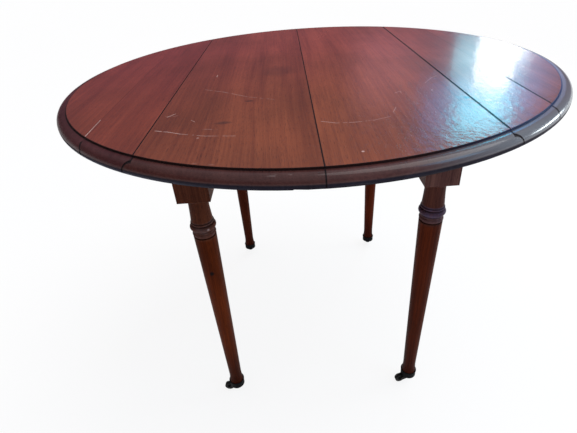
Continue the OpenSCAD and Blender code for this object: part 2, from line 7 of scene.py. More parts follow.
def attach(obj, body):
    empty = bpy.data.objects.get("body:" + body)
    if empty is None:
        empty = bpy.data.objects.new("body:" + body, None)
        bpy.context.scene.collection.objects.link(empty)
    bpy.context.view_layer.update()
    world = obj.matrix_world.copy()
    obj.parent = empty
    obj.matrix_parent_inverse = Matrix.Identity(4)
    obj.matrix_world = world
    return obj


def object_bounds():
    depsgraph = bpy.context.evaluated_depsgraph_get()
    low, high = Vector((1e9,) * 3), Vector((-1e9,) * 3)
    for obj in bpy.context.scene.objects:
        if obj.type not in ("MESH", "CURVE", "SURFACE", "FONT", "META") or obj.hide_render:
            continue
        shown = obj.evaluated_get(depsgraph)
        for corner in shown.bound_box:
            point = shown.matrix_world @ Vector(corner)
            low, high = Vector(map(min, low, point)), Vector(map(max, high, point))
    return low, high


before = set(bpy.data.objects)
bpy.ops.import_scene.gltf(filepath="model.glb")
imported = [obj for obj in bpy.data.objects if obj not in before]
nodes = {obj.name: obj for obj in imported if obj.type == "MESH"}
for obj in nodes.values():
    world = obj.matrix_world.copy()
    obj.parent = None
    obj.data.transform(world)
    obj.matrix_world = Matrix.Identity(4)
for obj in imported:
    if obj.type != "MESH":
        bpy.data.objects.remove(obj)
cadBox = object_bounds()
print("table loaded:", len(nodes), "pieces")

# Camera: standing in front of the table, looking down across it, a little tilted.
cameraSetup = {
    "lens": 25.755,  # mm
    "sensorWidth": 36,  # mm
    "clipEnd": 200,  # metres
    "place": (-0.0397, -0.9868, 1.0020),
    "pitch": 33.417,  # degrees below level
    "heading": -1.402,  # degrees from +Y towards +X
    "roll": -4.534,  # degrees, clockwise is positive
}


def makeCamera(setup):
    pitch, heading, roll = (math.radians(setup[key]) for key in ("pitch", "heading", "roll"))
    level = Vector((math.sin(heading), math.cos(heading), 0))
    right = Vector((math.cos(heading), -math.sin(heading), 0))
    up = Vector((0, 0, 1))
    ahead = math.cos(pitch) * level - math.sin(pitch) * up
    over = math.sin(pitch) * level + math.cos(pitch) * up
    side = math.cos(roll) * right + math.sin(roll) * over
    top = math.cos(roll) * over - math.sin(roll) * right
    data = bpy.data.cameras.new("camera")
    data.lens = setup["lens"]
    data.sensor_width = setup["sensorWidth"]
    data.clip_end = setup["clipEnd"]
    made = bpy.data.objects.new("camera", data)
    axes = Matrix((side, top, -ahead)).transposed().to_4x4()
    made.matrix_world = Matrix.Translation(setup["place"]) @ axes
    bpy.context.scene.collection.objects.link(made)
    bpy.context.scene.camera = made


makeCamera(cameraSetup)
bpy.context.scene.view_settings.view_transform = "Standard"
print("camera set")


# Short ways to add shader nodes. A value is either a plain number or colour, or a socket to wire in.
def setInput(tree, socket, value):
    if isinstance(value, bpy.types.NodeSocket):
        tree.links.new(value, socket)
    elif socket.type == "RGBA" and len(value) == 3:
        socket.default_value = (*value, 1)
    else:
        socket.default_value = value


def setInputs(tree, node, values):
    for key, value in values.items():
        setInput(tree, node.inputs[key], value)


def addNode(tree, kind, inputs=None, **settings):
    made = tree.nodes.new(kind)
    for name, value in settings.items():
        setattr(made, name, value)
    setInputs(tree, made, inputs or {})
    return made


def calc(tree, operation, *values):
    # on one value or two, and more are worked in one after another
    result = addNode(tree, "ShaderNodeMath", dict(enumerate(values[:2])), operation=operation).outputs[0]
    for value in values[2:]:
        result = addNode(tree, "ShaderNodeMath", {0: result, 1: value}, operation=operation).outputs[0]
    return result


def calcVector(tree, operation, *values):
    made = addNode(tree, "ShaderNodeVectorMath", dict(enumerate(values)), operation=operation)
    return made.outputs["Value" if operation in ("LENGTH", "DOT_PRODUCT", "DISTANCE") else "Vector"]


def apart(tree, first, second):
    return calc(tree, "ABSOLUTE", calc(tree, "SUBTRACT", first, second))


def diagonal(tree, first, second):
    squares = [calc(tree, "MULTIPLY", value, value) for value in (first, second)]
    return calc(tree, "SQRT", calc(tree, "ADD", *squares))


def ease(tree, value, low, high, toLow=0.0, toHigh=1.0):
    # smooth step from toLow to toHigh while value goes from low to high
    inputs = {"Value": value, "From Min": low, "From Max": high, "To Min": toLow, "To Max": toHigh}
    return addNode(tree, "ShaderNodeMapRange", inputs, interpolation_type="SMOOTHSTEP").outputs[0]


def mixColour(tree, amount, first, second, blend="MIX"):
    made = addNode(tree, "ShaderNodeMix", data_type="RGBA", blend_type=blend)
    setInputs(tree, made, {0: amount, 6: first, 7: second})  # 6 and 7 are a Mix node's colours
    return made.outputs[2]


def tinted(tree, colour, tint, amount=1.0):
    return mixColour(tree, amount, colour, tint, "MULTIPLY")


def paintOver(tree, colour, paint, *shares):
    # covers the colour with a paint, by one share or by several multiplied together
    amount = calc(tree, "MULTIPLY", *shares) if len(shares) > 1 else shares[0]
    return mixColour(tree, amount, colour, paint)


def noise(tree, vector, seed, scale, detail, roughness, output="Fac"):
    inputs = {"Vector": vector, "W": seed, "Scale": scale, "Detail": detail, "Roughness": roughness}
    return addNode(tree, "ShaderNodeTexNoise", inputs, noise_dimensions="4D").outputs[output]


def stretchedNoise(tree, place, seed, scale, shape, output="Fac"):
    stretched = calcVector(tree, "MULTIPLY", place, shape["stretch"])
    return noise(tree, stretched, seed, scale, shape["detail"], shape["roughness"], output)


def addBump(tree, height, distance, normal=None):
    inputs = {"Height": height, "Distance": distance, "Strength": 1.0}
    if normal is not None:
        inputs["Normal"] = normal
    return addNode(tree, "ShaderNodeBump", inputs).outputs[0]


def splitVector(tree, vector):
    return addNode(tree, "ShaderNodeSeparateXYZ", {0: vector}).outputs


def makeGroup(name, inputs, outputs):
    kinds = {"value": "NodeSocketFloat", "colour": "NodeSocketColor", "vector": "NodeSocketVector"}
    group = bpy.data.node_groups.new(name, "ShaderNodeTree")
    for label, kind in inputs.items():
        group.interface.new_socket(label, in_out="INPUT", socket_type=kinds[kind])
    for label, kind in outputs.items():
        group.interface.new_socket(label, in_out="OUTPUT", socket_type=kinds[kind])
    return group, group.nodes.new("NodeGroupInput").outputs, group.nodes.new("NodeGroupOutput").inputs


def useGroup(tree, group, inputs):
    made = tree.nodes.new("ShaderNodeGroup")
    made.node_tree = group
    setInputs(tree, made, inputs)
    return made.outputs


# Wood: broad bands, growth lines, short dark pores and cloudy patches. The grain runs along Y.
# A stretch says how often a noise repeats in a metre, and tones how much of its range is used.
grainShape = {
    "sway": {"stretch": (5, 1.1, 5), "detail": 1, "roughness": 0.5},
    "swayReach": (0.05, 0, 0.05),  # metres from one side of the sway to the other
    "bands": {"stretch": (24, 0.9, 24), "detail": 3, "roughness": 0.6, "tones": (0.3, 0.7)},
    "lines": {"stretch": (260, 4, 260), "detail": 4, "roughness": 0.65, "tones": (0.32, 0.68)},
    "pores": {"stretch": (1300, 60, 1300), "detail": 1, "roughness": 0.5, "tones": (0.58, 0.7)},
    "clouds": {"stretch": (6, 3.5, 6), "detail": 3, "roughness": 0.55, "tones": (0.3, 0.72)},
    "bandShare": 0.5,  # of the figure, which is bands and lines
    "clearShade": 1.15,  # brightness where there is no cloud
    "lineRelief": 0.25,  # against the depth of a pore
}
middle = 0.5  # of a noise, and of a scale from 0 to 1


def makeWoodGrain(shape):
    group, given, out = makeGroup(
        "woodGrain",
        {
            "Place": "vector",
            "Seed": "value",
            "Light": "colour",
            "Dark": "colour",
            "Figure": "value",
            "Coarseness": "value",
            "Pores": "value",
            "Clouds": "value",
        },
        {"Color": "colour", "Height": "value", "Clouds": "value"},
    )
    place, seed = given["Place"], given["Seed"]
    sway = stretchedNoise(group, place, seed, 1, shape["sway"], "Color")
    sway = calcVector(group, "SUBTRACT", sway, (middle, middle, middle))
    bent = calcVector(group, "ADD", place, calcVector(group, "MULTIPLY", sway, shape["swayReach"]))
    coarse = calc(group, "DIVIDE", 1.0, given["Coarseness"])
    bands, lines, pores = (
        stretchedNoise(group, bent, seed, coarse, shape[layer]) for layer in ("bands", "lines", "pores")
    )
    clouds = stretchedNoise(group, place, seed, 1, shape["clouds"])
    bandTone = ease(group, bands, *shape["bands"]["tones"])
    lineTone = ease(group, lines, *shape["lines"]["tones"])
    bandTone = calc(group, "MULTIPLY", bandTone, shape["bandShare"])
    lineTone = calc(group, "MULTIPLY", lineTone, 1 - shape["bandShare"])
    tone = calc(group, "SUBTRACT", calc(group, "ADD", bandTone, lineTone), middle)
    tone = calc(group, "ADD", middle, calc(group, "MULTIPLY", tone, given["Figure"]))
    colour = mixColour(group, tone, given["Light"], given["Dark"])
    poreMask = calc(group, "MULTIPLY", ease(group, pores, *shape["pores"]["tones"]), given["Pores"])
    colour = tinted(group, colour, given["Dark"], poreMask)
    cloudTone = ease(group, clouds, *shape["clouds"]["tones"])
    shade = calc(group, "MULTIPLY", cloudTone, given["Clouds"])
    shade = calc(group, "SUBTRACT", shape["clearShade"], shade)
    shadeColour = addNode(group, "ShaderNodeCombineColor", {0: shade, 1: shade, 2: shade}).outputs[0]
    height = calc(group, "SUBTRACT", calc(group, "MULTIPLY", lines, shape["lineRelief"]), poreMask)
    group.links.new(tinted(group, colour, shadeColour), out["Color"])
    group.links.new(height, out["Height"])
    group.links.new(cloudTone, out["Clouds"])
    return group


# Worn edges: a mask along convex edges, broken into patches, and a normal that rounds them.
wearShape = {
    "bend": (0.01, 0.12),  # how far the rounded normal leans where wear starts and where it is full
    "patches": {"seed": 3.0, "scale": 60, "detail": 3, "roughness": 0.6},
    "softness": 0.12,
    "samples": 4,
}


def makeEdgeWear(shape):
    group, given, out = makeGroup(
        "edgeWear",
        {"Place": "vector", "Radius": "value", "Break": "value"},
        {"Mask": "value", "Normal": "vector"},
    )
    bevel = addNode(group, "ShaderNodeBevel", {"Radius": given["Radius"]}, samples=shape["samples"])
    rounded = bevel.outputs[0]
    flat = addNode(group, "ShaderNodeNewGeometry").outputs["Normal"]
    bend = calc(group, "SUBTRACT", 1.0, calcVector(group, "DOT_PRODUCT", rounded, flat))
    edge = ease(group, bend, *shape["bend"])
    patch = noise(group, given["Place"], **shape["patches"])
    kept = ease(group, patch, calc(group, "SUBTRACT", given["Break"], shape["softness"]), given["Break"])
    group.links.new(calc(group, "MULTIPLY", edge, kept), out["Mask"])
    group.links.new(rounded, out["Normal"])
    return group


# One scratch or crack between two points, seen from above, broken up along its length.
strokeShape = {
    "core": 0.3,  # share of the width that is covered whole
    "patches": {"seed": 8.0, "scale": 95, "detail": 2, "roughness": 0.6},
    "softness": 0.1,
}


def makeStroke(shape):
    group, given, out = makeGroup(
        "stroke",
        {"Place": "vector", "From": "vector", "To": "vector", "Width": "value", "Broken": "value"},
        {"Mask": "value"},
    )
    flatPlace = calcVector(group, "MULTIPLY", given["Place"], (1, 1, 0))
    along = calcVector(group, "SUBTRACT", given["To"], given["From"])
    reach = calcVector(group, "SUBTRACT", flatPlace, given["From"])
    length = calcVector(group, "DOT_PRODUCT", along, along)
    share = calc(group, "DIVIDE", calcVector(group, "DOT_PRODUCT", reach, along), length)
    share = addNode(group, "ShaderNodeClamp", {0: share}).outputs[0]
    spread = addNode(group, "ShaderNodeCombineXYZ", {0: share, 1: share, 2: share}).outputs[0]
    nearest = calcVector(group, "ADD", given["From"], calcVector(group, "MULTIPLY", along, spread))
    away = calcVector(group, "DISTANCE", flatPlace, nearest)
    core = calc(group, "MULTIPLY", given["Width"], shape["core"])
    line = ease(group, away, core, given["Width"], 1, 0)
    patch = noise(group, given["Place"], **shape["patches"])
    kept = ease(group, patch, calc(group, "SUBTRACT", given["Broken"], shape["softness"]), given["Broken"])
    group.links.new(calc(group, "MULTIPLY", line, kept), out["Mask"])
    return group


# A round or oval spot with an uneven edge, such as a knot, a stain or a chip.
spotShape = {
    "patches": {"seed": 5.0, "scale": 120, "detail": 3, "roughness": 0.6},
    "unevenness": 0.5,
    "edge": (0.6, 1.25),  # in sizes of the spot
}


def makeSpot(shape):
    group, given, out = makeGroup(
        "spot", {"Place": "vector", "Centre": "vector", "Size": "vector"}, {"Mask": "value"}
    )
    reach = calcVector(group, "SUBTRACT", given["Place"], given["Centre"])
    scaled = calcVector(group, "DIVIDE", reach, given["Size"])
    patch = noise(group, given["Place"], **shape["patches"])
    uneven = calc(group, "MULTIPLY", patch, shape["unevenness"])
    away = calc(group, "ADD", calcVector(group, "LENGTH", scaled), uneven)
    group.links.new(ease(group, away, *shape["edge"], 1, 0), out["Mask"])
    return group


# Dust and dull patches.
dustShape = {"detail": 5, "roughness": 0.65, "tones": (0.4, 0.72)}


def makeDust(shape):
    group, given, out = makeGroup(
        "dust", {"Place": "vector", "Seed": "value", "Size": "value"}, {"Mask": "value"}
    )
    scale = calc(group, "DIVIDE", 1.0, given["Size"])
    patch = noise(group, given["Place"], given["Seed"], scale, shape["detail"], shape["roughness"])
    group.links.new(ease(group, patch, *shape["tones"]), out["Mask"])
    return group


woodGrain = makeWoodGrain(grainShape)
edgeWear = makeEdgeWear(wearShape)
stroke = makeStroke(strokeShape)
spot = makeSpot(spotShape)
dust = makeDust(dustShape)
print("shader groups built")


def startMaterial(name):
    made = bpy.data.materials.new(name)
    made.use_nodes = True
    tree = made.node_tree
    tree.nodes.clear()
    shader = tree.nodes.new("ShaderNodeBsdfPrincipled")
    output = tree.nodes.new("ShaderNodeOutputMaterial")
    tree.links.new(shader.outputs[0], output.inputs["Surface"])
    return made, tree, shader


def objectPlace(tree):
    return addNode(tree, "ShaderNodeTexCoord").outputs["Object"]


def turnGrain(tree, place, direction):
    # turns the place so that the grain, which runs along the given axis, runs along Y
    turns = {"x": (0, 0, math.radians(90)), "y": (0, 0, 0), "z": (math.radians(-90), 0, 0)}
    return addNode(tree, "ShaderNodeMapping", {"Vector": place, "Rotation": turns[direction]}).outputs[0]


def useWoodGrain(tree, place, seed, look):
    values = {"Place": place, "Seed": seed}
    for key in ("light", "dark", "figure", "coarseness", "pores", "clouds"):
        values[key.capitalize()] = look[key]
    return useGroup(tree, woodGrain, values)


def useEdgeWear(tree, place, look):
    values = {"Place": place, "Radius": look["wearRadius"], "Break": look["wearBreak"]}
    return useGroup(tree, edgeWear, values)


def useDust(tree, place, seed, size):
    return useGroup(tree, dust, {"Place": place, "Seed": seed, "Size": size})["Mask"]


def useStroke(tree, place, start, end, width, broken):
    values = {"Place": place, "From": (*start, 0), "To": (*end, 0), "Width": width, "Broken": broken}
    return useGroup(tree, stroke, values)["Mask"]


def useSpot(tree, place, centre, reach):
    return useGroup(tree, spot, {"Place": place, "Centre": centre, "Size": reach})["Mask"]


# Top boards: reddish brown polished wood with a moulding darkened by painted shade and a painted blue-grey
# sheen, worn joints and scratches.
# A zone is the stretch of a coordinate, in metres, over which something comes in or goes.
topBoard = {
    "light": (0.262, 0.068, 0.026),
    "dark": (0.122, 0.024, 0.010),
    "figure": 0.9,
    "coarseness": 1.0,
    "pores": 0.5,
    "clouds": 0.38,
    "back": (1.16, 0.90, 1.40),  # tint of the far side of the top, redder and paler: a painted reflection of the room
    "backReflectionZone": (-0.35, 0.30),
    "mouldingHighShadeSheen": (0.32, 0.42, 0.95),  # tints of the moulding, above and below its widest line: painted shade, deepest below it, and a painted blue-grey sheen
    "mouldingLowShadeSheen": (0.068, 0.23, 1.05),
    "bare": (0.86, 1.42, 1.55),  # tint of the underside, which was never polished
    "leftRimSheen": (0.060, 0.063, 0.088),  # a painted blue-grey sheen on the lower side of the rim at the left
    "leftRimSheenStrength": 0.9,
    "leftRimSheenZone": (0.7405, 0.7470),
    "leftZone": (-0.36, -0.04),
    "rightRimReflection": (0.118, 0.130, 0.148),  # a pale, blue painted reflection of the window on the rim at the right
    "rightRimReflectionStrength": 0.85,
    "rightRimReflectionZone": (0.09, 0.28),
    "sheenHaze": (0.022, 0.050, 0.125),  # a painted blue reflection of the sky in the step of the moulding on the right
    "stepSheenStrength": 0.85,
    "stepSheenZone": (0.12, 0.36),
    "scratch": (0.50, 0.33, 0.29),
    # the dark colour of dirt, stains and cracks, also used for painted shade in the step and at the foot
    # of the moulding
    "dirtAndShade": (0.010, 0.005, 0.006),
    "dirtWidth": 0.0016,  # metres, of the dark line on each side of a joint
    "dirtCore": 0.4,  # share of that width which is all dirt
    "glueDirt": 0.45,
    "glueWidth": (0.0001, 0.0007),
    "stepDirtAndShade": 0.92,
    "stepRightShare": 0.8,  # share that is left at the right
    "stepRightZone": (0.10, 0.32),
    "footShade": 0.75,
    "footLeftLoss": 0.5,  # less painted shade at the left, where the painted sheen is
    "polish": 0.27,  # roughness where the polish is best
    "dullness": 0.14,  # roughness added in the dull patches, and below by each kind of wear
    "scratchRough": 0.3,
    "bareRough": 0.4,
    "dirtRough": 0.35,
    "lowMouldingRough": 0.4,
    "relief": 0.00012,  # metres
    "ripple": 0.0006,  # metres, the unevenness of the varnish
    "rippleShape": {"stretch": (90, 75, 90), "detail": 3, "roughness": 0.6},
    "mouldingRipple": 0.12,  # share of it on the moulding
    "coat": 0.38,
    "mouldingCoat": 0.25,  # added on the moulding at the right, and at the left it has lost its varnish
    "coatZone": (-0.45, 0.35),
    "lowMouldingDull": 0.97,  # share of the varnish that is lost
    "dirtDull": 0.7,
    "coatRoughness": 0.085,
    "gloss": 0.09,
}
tableSizes = {
    "radius": cadBox[1].x,
    "mouldingWidth": 0.0205,
    "mouldingEdge": (-0.0003, 0.0006),  # from the moulding's start, where its look comes in
    "mouldingMiddle": 0.7475,  # height of its widest line
    "mouldingBlend": 0.0015,
    "stepMiddle": 0.0004,  # outside the moulding's start
    "stepWidth": (0.0008, 0.0021),
    "rimFoot": 0.7405,
    "footBlend": (-0.001, 0.0015),
    "underZ": 0.738,
    "underBlend": (0.0002, 0.0008),
    "boardX": 0.377,  # of the glue joint between the boards of a leaf
    "jointX": 0.271,
    "jointR": 0.0165,
    "pinZ": 0.7415,  # of the hinge pins, which the joint's round edge is centred on
    "shoulderOverlap": 0.001,
}
# Marks seen in the photograph, in metres on the top. A scratch or crack has its ends, width, brokenness
# and strength, and a spot or stain its middle, sizes and strength. A shade tints the wood, and is full
# from its first X outwards and gone from its second.
boardMarks = {
    "leftHalf": {
        "scratches": [
            ((-0.261, -0.345), (-0.238, -0.354), 0.0013, 0.40, 0.9),
            ((-0.238, -0.354), (-0.216, -0.366), 0.0013, 0.42, 0.8),
            ((-0.216, -0.366), (-0.174, -0.382), 0.0010, 0.52, 0.6),
            ((-0.174, -0.382), (-0.126, -0.390), 0.0010, 0.52, 0.6),
            ((-0.255, -0.283), (-0.244, -0.267), 0.0012, 0.38, 0.8),
            ((-0.259, -0.279), (-0.238, -0.279), 0.0008, 0.45, 0.5),
            ((-0.209, -0.306), (-0.201, -0.316), 0.0009, 0.45, 0.5),
            ((-0.182, -0.352), (-0.158, -0.358), 0.0009, 0.50, 0.5),
            ((-0.213, -0.128), (-0.170, -0.155), 0.0010, 0.48, 0.5),
            ((-0.170, -0.155), (-0.119, -0.198), 0.0010, 0.46, 0.55),
            ((-0.119, -0.198), (-0.068, -0.225), 0.0009, 0.48, 0.5),
            ((-0.199, -0.020), (-0.199, -0.035), 0.0014, 0.35, 0.7),
        ],
        "spots": [
            ((-0.184, -0.388, 0.762), (0.0028, 0.0034, 0.01), 0.45),
            ((-0.174, -0.478, 0.762), (0.0050, 0.0030, 0.01), 0.12),
            ((-0.150, -0.485, 0.762), (0.0060, 0.0025, 0.01), 0.12),
        ],
        "stains": [
            ((-0.151, -0.330, 0.762), (0.020, 0.009, 0.02), 0.5),
            ((-0.115, -0.224, 0.762), (0.012, 0.008, 0.02), 0.5),
            ((-0.060, -0.020, 0.762), (0.045, 0.060, 0.06), 0.30),
        ],
        "shades": [
            (-0.21, -0.10, (0.80, 0.74, 0.73)),
            (-0.005, -0.07, (0.88, 0.84, 0.82)),
        ],
    },
    "rightHalf": {
        "scratches": [
            ((0.009, -0.354), (0.032, -0.366), 0.0012, 0.42, 0.7),
            ((0.032, -0.366), (0.059, -0.368), 0.0010, 0.46, 0.6),
            ((0.059, -0.368), (0.091, -0.365), 0.0010, 0.48, 0.6),
            ((0.091, -0.365), (0.119, -0.354), 0.0009, 0.48, 0.5),
            ((0.153, -0.238), (0.165, -0.229), 0.0010, 0.42, 0.6),
            ((0.165, -0.229), (0.164, -0.243), 0.0009, 0.42, 0.5),
            ((0.138, -0.312), (0.128, -0.335), 0.0009, 0.46, 0.5),
            ((0.222, -0.190), (0.243, -0.160), 0.0011, 0.48, 0.55),
            ((0.243, -0.160), (0.257, -0.148), 0.0010, 0.48, 0.5),
        ],
        "spots": [
            ((0.055, -0.476, 0.762), (0.0028, 0.0030, 0.01), 1.0),
            ((0.221, -0.236, 0.762), (0.0026, 0.0026, 0.01), 0.8),
        ],
        "stains": [((0.264, -0.290, 0.762), (0.007, 0.010, 0.02), 0.9)],
        "cracks": [((0.2705, 0.43), (0.2705, -0.43), 0.0026, 0.42, 1.0)],
    },
    "leftLeaf": {
        # the pale line along the glue joint is painted light, shining through the open crack
        "scratches": [((-0.3755, -0.350), (-0.3775, -0.272), 0.0011, 0.30, 1.0)],
        "cracks": [((-0.377, -0.362), (-0.377, -0.40), 0.0028, 0.1, 1.0)],
    },
    "rightLeaf": {
        "spots": [((0.310, -0.353, 0.762), (0.0034, 0.0034, 0.01), 0.9)],
        "cracks": [
            ((0.377, -0.190), (0.377, -0.36), 0.0028, 0.2, 1.0),
            ((0.2715, 0.43), (0.2715, -0.43), 0.0026, 0.42, 1.0),
            ((0.377, -0.355), (0.377, -0.40), 0.0028, 0.1, 1.0),
        ],
    },
}

# The boards: a seed and a shift, in metres, give each its own grain, and a tone tints it.
plainTone = (1, 1, 1)
leftTone = (0.84, 0.66, 0.80)  # the left leaf is the reddest and darkest
topBoards = {
    "left_top": {
        "material": "leftHalfWood",
        "marks": "leftHalf",
        "seed": 1.0,
        "shift": (0, 0, 0),
        "tone": plainTone,
    },
    "right_top": {
        "material": "rightHalfWood",
        "marks": "rightHalf",
        "seed": 2.3,
        "shift": (0.4, 0.2, 0),
        "tone": plainTone,
    },
    "left_leaf_inner_board": {
        "material": "leftInnerWood",
        "marks": "leftLeaf",
        "seed": 3.1,
        "shift": (0.9, 0.1, 0),
        "tone": leftTone,
    },
    "left_leaf_outer_board": {
        "material": "leftOuterWood",
        "marks": "leftLeaf",
        "seed": 4.7,
        "shift": (1.3, 0.5, 0),
        "tone": leftTone,
    },
    "right_leaf_inner_board": {
        "material": "rightInnerWood",
        "marks": "rightLeaf",
        "seed": 5.2,
        "shift": (2.1, 1.4, 0),
        "tone": plainTone,
    },
    "right_leaf_outer_board": {
        "material": "rightOuterWood",
        "marks": "rightLeaf",
        "seed": 6.6,
        "shift": (2.9, 1.9, 0),
        "tone": plainTone,
    },
}


def jointDistance(tree, acrossX, z, onMoulding):
    # How far a place is from the line of the rule joint: a shoulder, the round edge, and a lip below it.
    # A metre is added where one of them doesn't run.
    size = tableSizes
    outX = calc(tree, "SUBTRACT", acrossX, size["jointX"])
    upZ = calc(tree, "SUBTRACT", z, size["pinZ"])
    above = calc(tree, "GREATER_THAN", upZ, 0.0)
    outside = calc(tree, "GREATER_THAN", outX, 0.0)
    offMoulding = calc(tree, "SUBTRACT", 1.0, onMoulding)
    tooLow = calc(tree, "LESS_THAN", upZ, size["jointR"] - size["shoulderOverlap"])
    shoulder = calc(tree, "ADD", calc(tree, "ABSOLUTE", outX), tooLow)
    offCurve = calc(tree, "SUBTRACT", 1.0, calc(tree, "MULTIPLY", above, outside))
    curve = apart(tree, diagonal(tree, outX, upZ), size["jointR"])
    curve = calc(tree, "ADD", curve, offCurve, offMoulding)
    lip = calc(tree, "ADD", apart(tree, outX, size["jointR"]), above, offMoulding)
    return calc(tree, "MINIMUM", shoulder, curve, lip)


def topWood(board):
    look, size = topBoard, tableSizes
    marks, seed = boardMarks[board["marks"]], board["seed"]
    made, tree, shader = startMaterial(board["material"])
    place = objectPlace(tree)
    x, y, z = splitVector(tree, place)
    grain = useWoodGrain(tree, calcVector(tree, "ADD", place, board["shift"]), seed, look)

    # masks for the parts of the top
    away = diagonal(tree, x, y)
    fieldR = size["radius"] - size["mouldingWidth"]
    mouldingFrom, mouldingTo = (fieldR + edge for edge in size["mouldingEdge"])
    onMoulding = ease(tree, away, mouldingFrom, mouldingTo)
    lineLow = size["mouldingMiddle"] - size["mouldingBlend"]
    lineHigh = size["mouldingMiddle"] + size["mouldingBlend"]
    below = ease(tree, z, lineLow, lineHigh, 1, 0)
    lowMoulding = calc(tree, "MULTIPLY", onMoulding, below)
    bare = ease(tree, z, *(size["underZ"] + edge for edge in size["underBlend"]), 1, 0)
    leftSide = ease(tree, x, *look["leftZone"], 1, 0)
    stepAway = apart(tree, away, fieldR + size["stepMiddle"])

    # the wood, redder at the back, where that is a painted reflection of the room, and darker and greyer
    # on the moulding, where that is painted shade and a painted blue-grey sheen
    colour = tinted(tree, grain["Color"], board["tone"])
    colour = tinted(tree, colour, look["back"], ease(tree, y, *look["backReflectionZone"]))
    for fullX, goneX, shade in marks.get("shades", ()):
        if fullX < goneX:
            amount = ease(tree, x, fullX, goneX, 1, 0)
        else:
            amount = ease(tree, x, goneX, fullX)
        colour = tinted(tree, colour, shade, amount)
    # painted shade and a painted blue-grey sheen on the moulding
    tint = mixColour(tree, below, look["mouldingHighShadeSheen"], look["mouldingLowShadeSheen"])
    colour = paintOver(tree, colour, tinted(tree, colour, tint), onMoulding)
    # a painted blue-grey sheen on the lower rim at the left
    leftRimSheenShare = ease(tree, z, *look["leftRimSheenZone"], look["leftRimSheenStrength"], 0)
    colour = paintOver(tree, colour, look["leftRimSheen"], leftSide, leftRimSheenShare, onMoulding)
    # a pale blue painted reflection of the window on the upper rim at the right
    rightRimReflection = ease(tree, x, *look["rightRimReflectionZone"], 0, look["rightRimReflectionStrength"])
    colour = paintOver(tree, colour, look["rightRimReflection"], rightRimReflection, calc(tree, "SUBTRACT", 1.0, below), onMoulding)

    # scratches, spots and stains
    rough = calc(tree, "ADD", look["polish"], calc(tree, "MULTIPLY", grain["Clouds"], look["dullness"]))
    for *line, strength in marks.get("scratches", ()):
        mask = calc(tree, "MULTIPLY", useStroke(tree, place, *line), strength)
        colour = paintOver(tree, colour, look["scratch"], mask)
        rough = calc(tree, "ADD", rough, calc(tree, "MULTIPLY", mask, look["scratchRough"]))
    for kind, markColour in (("spots", look["scratch"]), ("stains", look["dirtAndShade"])):
        for centre, reach, strength in marks.get(kind, ()):
            colour = paintOver(tree, colour, markColour, useSpot(tree, place, centre, reach), strength)

    # dirt in the joints and the cracks, dirt and painted shade in the step, and painted shade at the foot
    # of the moulding
    acrossX = calc(tree, "ABSOLUTE", x)
    seam = calc(tree, "MINIMUM", jointDistance(tree, acrossX, z, onMoulding), acrossX)
    seam = ease(tree, seam, look["dirtWidth"] * look["dirtCore"], look["dirtWidth"], 1, 0)
    glue = ease(tree, apart(tree, acrossX, size["boardX"]), *look["glueWidth"], look["glueDirt"], 0)
    # dirt and painted shade in the step of the moulding
    step = ease(tree, stepAway, *size["stepWidth"], look["stepDirtAndShade"], 0)
    stepShare = ease(tree, x, *look["stepRightZone"], 1, look["stepRightShare"])
    step = calc(tree, "MULTIPLY", step, stepShare)
    # painted shade along the foot of the moulding
    foot = ease(tree, z, *(size["rimFoot"] + edge for edge in size["footBlend"]), 1, 0)
    footShare = calc(tree, "MULTIPLY", leftSide, look["footLeftLoss"])
    footShare = calc(tree, "SUBTRACT", look["footShade"], footShare)
    foot = calc(tree, "MULTIPLY", foot, footShare, onMoulding)
    dirtAndShade = calc(tree, "MAXIMUM", seam, glue, step, foot)
    for *line, strength in marks.get("cracks", ()):
        mask = calc(tree, "MULTIPLY", useStroke(tree, place, *line), strength)
        dirtAndShade = calc(tree, "MAXIMUM", dirtAndShade, mask)
    colour = paintOver(tree, colour, look["dirtAndShade"], dirtAndShade)
    # a painted blue reflection of the sky in the step of the moulding on the right
    sheenHaze = ease(tree, stepAway, *size["stepWidth"], look["stepSheenStrength"], 0)
    colour = paintOver(tree, colour, look["sheenHaze"], sheenHaze, ease(tree, x, *look["stepSheenZone"]))
    colour = paintOver(tree, colour, tinted(tree, grain["Color"], look["bare"]), bare)

    for mask, key in ((bare, "bareRough"), (dirtAndShade, "dirtRough"), (lowMoulding, "lowMouldingRough")):
        rough = calc(tree, "ADD", rough, calc(tree, "MULTIPLY", mask, look[key]))
    # the varnish lies a little unevenly, which breaks up its reflections
    waves = stretchedNoise(tree, place, seed, 1, look["rippleShape"])
    smooth = ease(tree, away, mouldingFrom, mouldingTo, 1, look["mouldingRipple"])
    waves = calc(tree, "MULTIPLY", waves, smooth)
    # it is lost on the lower side of the moulding, and best kept at the moulding's right
    lost = calc(tree, "MULTIPLY", lowMoulding, look["lowMouldingDull"])
    lost = calc(tree, "MAXIMUM", lost, bare, calc(tree, "MULTIPLY", dirtAndShade, look["dirtDull"]))
    coat = ease(tree, x, *look["coatZone"], -look["coat"], look["mouldingCoat"])
    coat = calc(tree, "ADD", look["coat"], calc(tree, "MULTIPLY", onMoulding, coat))
    values = {
        "Base Color": colour,
        "Roughness": rough,
        "Normal": addBump(tree, grain["Height"], look["relief"]),
        "Coat Weight": calc(tree, "MULTIPLY", calc(tree, "SUBTRACT", 1.0, lost), coat),
        "Coat Roughness": look["coatRoughness"],
        "Coat Normal": addBump(tree, waves, look["ripple"]),
        "Specular IOR Level": look["gloss"],
    }
    setInputs(tree, shader, values)
    return made


